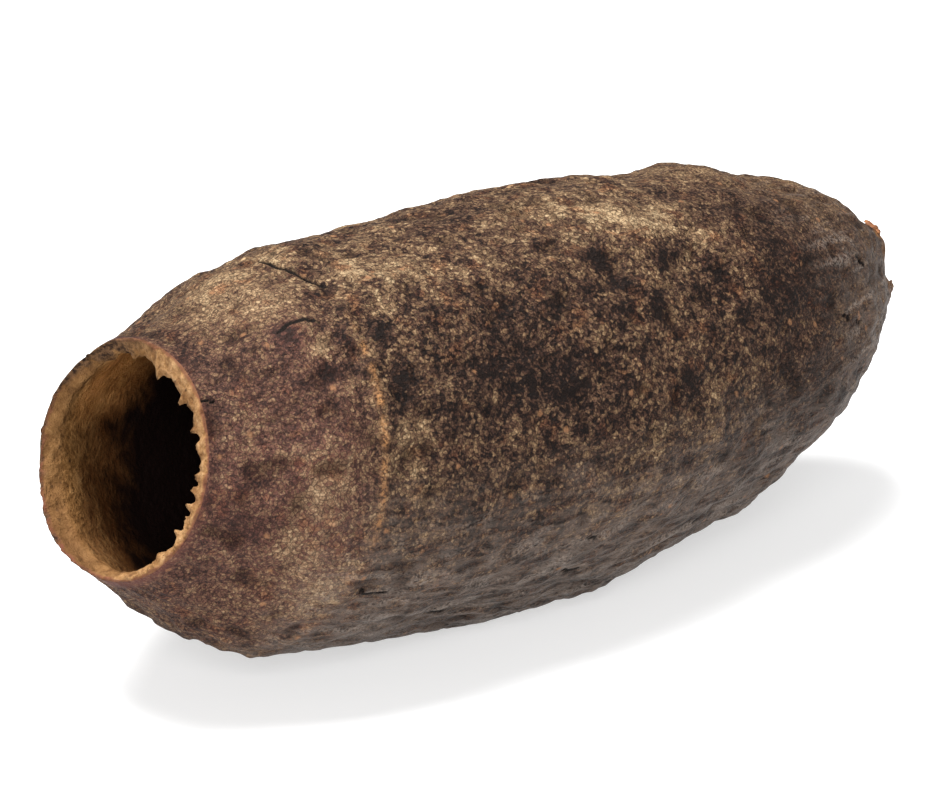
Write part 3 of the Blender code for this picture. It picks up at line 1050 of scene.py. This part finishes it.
def shaded_inwards(k, colour, both):
    """Dark specks, and a wall that darkens inwards, to near black as painted shade, with painted
    light on its upper side and a dull low stretch.
    """
    distance, pick = k.dots(1.1)
    specks = k.product(k.span(distance, 0.10, 0.24, 0.8, 0.0), k.span(pick, 0.48, 0.54))
    colour = k.mixed(specks, colour, srgb(52, 32, 18))
    # Patchy noise that makes the inward darkening uneven.
    patchy_depth = k.maths("SUBTRACT", k.noise(4.0, 4.0, 0.6, distortion=0.8), 0.46)
    deep = k.maths("ADD", k.field("deep"), k.product(patchy_depth, 0.9))
    # Darker brown further in.
    colour = k.mixed(k.span(deep, 0.0, 0.45, 0.0, 0.8), colour, srgb(78, 42, 16))
    # Painted light: a bright ochre on the upper inner wall.
    painted_lit = k.ramp(both, ((0.36, srgb(150, 96, 46)), (0.62, srgb(226, 158, 92))))
    colour = k.mixed(k.product(k.field("painted_light_ceiling"), 0.85), colour, painted_lit)
    colour = k.mixed(k.product(k.field("low"), 0.55), colour, srgb(84, 54, 28))
    # Painted shade: near black deep inside the hollow.
    return k.mixed(k.span(deep, 0.25, 0.75, 0.0, 1.0), colour, srgb(15, 4, 2))


def rimmed(k, colour, grain):
    """Painted shade on the far rim, spots on the ledge, a reddish line round the lip and its dark
    crust.
    """
    # Painted shade: a dull brown over the far rim.
    colour = k.mixed(k.product(k.field("painted_shade_far_rim"), 0.5), colour, srgb(96, 68, 42))
    spots = k.span(k.noise(1.3, 4.0, 0.65, distortion=0.8), 0.54, 0.64, 0.0, 0.6)
    colour = k.mixed(k.product(spots, k.field("ledge")), colour, srgb(104, 70, 42))
    line = k.product(k.field("line"), k.span(grain, 0.35, 0.55, 0.3, 0.85))
    colour = k.mixed(line, colour, srgb(98, 56, 44))
    crust = k.ramp(grain, ((0.4, srgb(34, 22, 16)), (0.6, srgb(96, 70, 48))))
    return k.mixed(k.field("crust"), colour, crust)


def flesh_material():
    """The lip and the inner wall: ochre wood, mottled olive, with dark specks, darker inside."""
    k = Shader("pod_lip_and_wall")
    mottle = k.noise(2.0, 4.0, 0.65, distortion=0.5)
    grain = k.noise(0.5, 3.0, 0.7)
    both = k.maths("ADD", k.product(mottle, 0.6), k.product(grain, 0.4))
    colour = wood_colour(k, both)
    colour = shaded_inwards(k, colour, both)
    colour = rimmed(k, colour, grain)
    k.put(k.surface.inputs["Base Color"], colour)
    k.surface.inputs["Roughness"].default_value = 0.75
    k.surface.inputs["Specular IOR Level"].default_value = 0.1
    k.put(k.surface.inputs["Normal"], k.bump(grain, 0.25, k.bump(mottle, 0.4)))
    return k.material


def shard_material():
    """Torn fibrous wood, orange where it is fresh and brown where it is old."""
    k = Shader("torn_wood")
    fibres = k.noise(0.35, 3.0, 0.6, stretch=2.0)
    old = k.ramp(fibres, ((0.3, srgb(46, 30, 22)), (0.5, srgb(84, 60, 44)),
                          (0.7, srgb(126, 98, 74))))
    fresh = k.ramp(fibres, ((0.3, srgb(70, 38, 18)), (0.5, srgb(122, 72, 34)),
                            (0.7, srgb(152, 102, 58))))
    k.put(k.surface.inputs["Base Color"], k.mixed(k.field("fresh"), old, fresh))
    k.surface.inputs["Roughness"].default_value = 0.7
    k.put(k.surface.inputs["Normal"], k.bump(fibres, 0.1))
    return k.material


def make_pod():
    """The whole shell in one closed mesh, and the move that brings it into the solid's frame."""
    s, r, phi, rows, lip_row = pod_grid()
    move = settle_move(shaped(s, r, phi, fine=False))
    points = shaped(s, r, phi, fine=True) - move
    points[:, 2] = np.maximum(points[:, 2], 0.0)
    mesh = bpy.data.meshes.new("pod_shell")
    mesh.from_pydata((points * MM).tolist(), [], grid_faces(rows))
    mesh.materials.append(skin_material())
    mesh.materials.append(flesh_material())
    which = np.repeat((np.arange(rows - 1) >= lip_row - 1).astype(np.int32), COLUMNS)
    mesh.polygons.foreach_set("material_index", which)
    paint_skin(mesh, s, r, phi)
    paint_mouth(mesh, s, r, phi)
    drop_loose_points(mesh)
    mesh.shade_smooth()
    pod = bpy.data.objects.new("pod_shell", mesh)
    bpy.context.scene.collection.objects.link(pod)
    return pod, move


def drop_loose_points(mesh):
    """Removes the poles' unused copies."""
    form = bmesh.new()
    form.from_mesh(mesh)
    loose = [v for v in form.verts if not v.link_faces]
    bmesh.ops.delete(form, geom=loose, context="VERTS")
    bmesh.ops.recalc_face_normals(form, faces=form.faces)
    form.to_mesh(mesh)
    form.free()


def surface_point(r, phi, move):
    """A point of the stalk end's surface and its outward direction, in the solid's frame."""
    line = smooth_line(OUTER_PROFILE, np.linspace(0.8, 1, 300))

    def at(radius, angle):
        s = np.interp(radius, line[::-1, 1], line[::-1, 0])
        arrays = (np.array([s]), np.array([radius]), np.array([angle]))
        return (shaped(*arrays, fine=False) - move)[0]

    here = at(r, phi)
    outwards = at(r + 0.3, phi) - here
    sideways = at(r, phi + 3.0) - here
    normal = np.cross(outwards, sideways)
    normal = normal / np.linalg.norm(normal)
    return here, normal if normal[0] > 0 else -normal


def shard_points(base, direction, length, width, rng):
    """A small bent, tapered flake: rings of points from its sunk root to its tip."""
    direction = Vector(direction).normalized()
    side = direction.orthogonal().normalized()
    side.rotate(Matrix.Rotation(rng.uniform(0, math.tau), 3, direction))
    other = direction.cross(side)
    lean = side * rng.uniform(-0.5, 0.5) + other * rng.uniform(-0.5, 0.5)
    points = []
    for ring in range(SHARD_RINGS):
        t = ring / (SHARD_RINGS - 1)
        centre = Vector(base) + direction * length * (t - 0.3) + lean * length * t * t * 0.6
        size = width * (1 - 0.6 * t * t) * rng.uniform(0.8, 1.1)
        for corner in range(SHARD_SIDES):
            angle = math.tau * corner / SHARD_SIDES
            points.append(centre + (side * math.cos(angle) + other * 0.45 * math.sin(angle)) * size)
    return points


def shard_faces(first):
    """A flake's sides and its two ends, from the number of its first point."""
    faces = []
    for ring in range(SHARD_RINGS - 1):
        for corner in range(SHARD_SIDES):
            a = first + ring * SHARD_SIDES + corner
            b = first + ring * SHARD_SIDES + (corner + 1) % SHARD_SIDES
            faces.append((a, b, b + SHARD_SIDES, a + SHARD_SIDES))
    root = range(first, first + SHARD_SIDES)
    tip = first + (SHARD_RINGS - 1) * SHARD_SIDES
    return [*faces, tuple(reversed(root)), tuple(range(tip, tip + SHARD_SIDES))]


def make_shards(move):
    """Tufts of torn wood standing round the rim of the stalk scar."""
    rng = random.Random(SHARD_SEED)
    scattered = [(rng.uniform(140, 340), rng.uniform(0.12, 0.22), rng.uniform(0.3, 0.5))
                 for _ in range(SHARDS)]
    towards = math.radians(STALK_TOWARDS)
    points, faces, fresh = [], [], []
    for shard in [*FRESH_SHARDS, *OLD_SHARDS, *scattered]:
        turn, length, width = shard
        out = STALK_RADIUS * rng.uniform(0.92, 1.08)
        across = STALK_OFF_CENTRE * math.sin(towards) + out * math.sin(math.radians(turn))
        up = STALK_OFF_CENTRE * math.cos(towards) + out * math.cos(math.radians(turn))
        phi = math.degrees(math.atan2(across, up)) % 360
        here, normal = surface_point(math.hypot(across, up), phi, move)
        faces += shard_faces(len(points))
        points += shard_points(here, normal, length, width, rng)
        fresh += [float(shard in FRESH_SHARDS)] * (SHARD_RINGS * SHARD_SIDES)
    mesh = bpy.data.meshes.new("stalk_fibres")
    mesh.from_pydata([tuple(p * MM) for p in points], [], faces)
    mesh.materials.append(shard_material())
    add_field(mesh, "fresh", fresh)
    mesh.shade_smooth()
    shards = bpy.data.objects.new("stalk_fibres", mesh)
    bpy.context.scene.collection.objects.link(shards)
    return shards


def add_floor():
    """A plain pale floor that the pod rests on."""
    mesh = bpy.data.meshes.new("floor")
    half = FLOOR_SIZE / 2
    corners = [(-half, -half, 0), (half, -half, 0), (half, half, 0), (-half, half, 0)]
    mesh.from_pydata(corners, [], [(0, 1, 2, 3)])
    material = bpy.data.materials.new("pale_floor")
    material.use_nodes = True
    surface = material.node_tree.nodes["Principled BSDF"]
    surface.inputs["Base Color"].default_value = (0.55, 0.55, 0.55, 1)
    surface.inputs["Roughness"].default_value = 0.9
    surface.inputs["Specular IOR Level"].default_value = 0.1
    surface.inputs["Emission Color"].default_value = (1, 1, 1, 1)
    surface.inputs["Emission Strength"].default_value = 0.55
    mesh.materials.append(material)
    floor = bpy.data.objects.new("floor", mesh)
    bpy.context.scene.collection.objects.link(floor)


def add_light(name, place, aim, size, power):
    """A square soft light at place, facing aim, all in millimetres."""
    light = bpy.data.lights.new(name, "AREA")
    light.size = size * MM
    light.energy = power
    lamp = bpy.data.objects.new(name, light)
    lamp.location = Vector(place) * MM
    towards = (Vector(aim) - Vector(place)).normalized()
    lamp.rotation_euler = towards.to_track_quat("-Z", "Y").to_euler()
    bpy.context.scene.collection.objects.link(lamp)


def add_lights():
    """Soft light from above and from the front, in an even white room."""
    middle = (0, 0, 20)
    add_light("overhead", (-120, 60, 620), middle, 320, 9.0)
    add_light("front", (-420, -420, 300), middle, 260, 3.0)
    world = bpy.data.worlds.new("studio")
    world.use_nodes = True
    room = world.node_tree.nodes["Background"]
    room.inputs["Color"].default_value = (1, 1, 1, 1)
    room.inputs["Strength"].default_value = ROOM_LIGHT
    bpy.context.scene.world = world


def add_camera(move):
    """The photograph's viewing angle, worked out round the middle of the pod."""
    a, e = math.radians(CAMERA_AZIMUTH), math.radians(CAMERA_ELEVATION)
    back = Vector((math.sin(a) * math.cos(e), -math.cos(a) * math.cos(e), math.sin(e)))
    right = Vector((math.cos(a), math.sin(a), 0))
    up = back.cross(right)
    middle = Vector((LENGTH / 2, 0, 0)) - Vector(move)
    place = middle + back * CAMERA_DISTANCE + right * CAMERA_ASIDE + up * CAMERA_ABOVE
    data = bpy.data.cameras.new("camera")
    data.sensor_width = SENSOR_WIDTH
    data.lens = FOCAL_PIXELS * SENSOR_WIDTH / IMAGE_WIDTH
    data.clip_start = 0.01
    camera = bpy.data.objects.new("camera", data)
    turn = Matrix((right, up, back)).transposed().to_4x4()
    camera.matrix_world = Matrix.Translation(place * MM) @ turn
    bpy.context.scene.collection.objects.link(camera)
    bpy.context.scene.camera = camera


pod, move = make_pod()
add_camera(move)
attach(pod, "root")
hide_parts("pod")
shards = make_shards(move)
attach(shards, "root")
add_floor()
add_lights()
bpy.context.scene.view_settings.view_transform = "Standard"
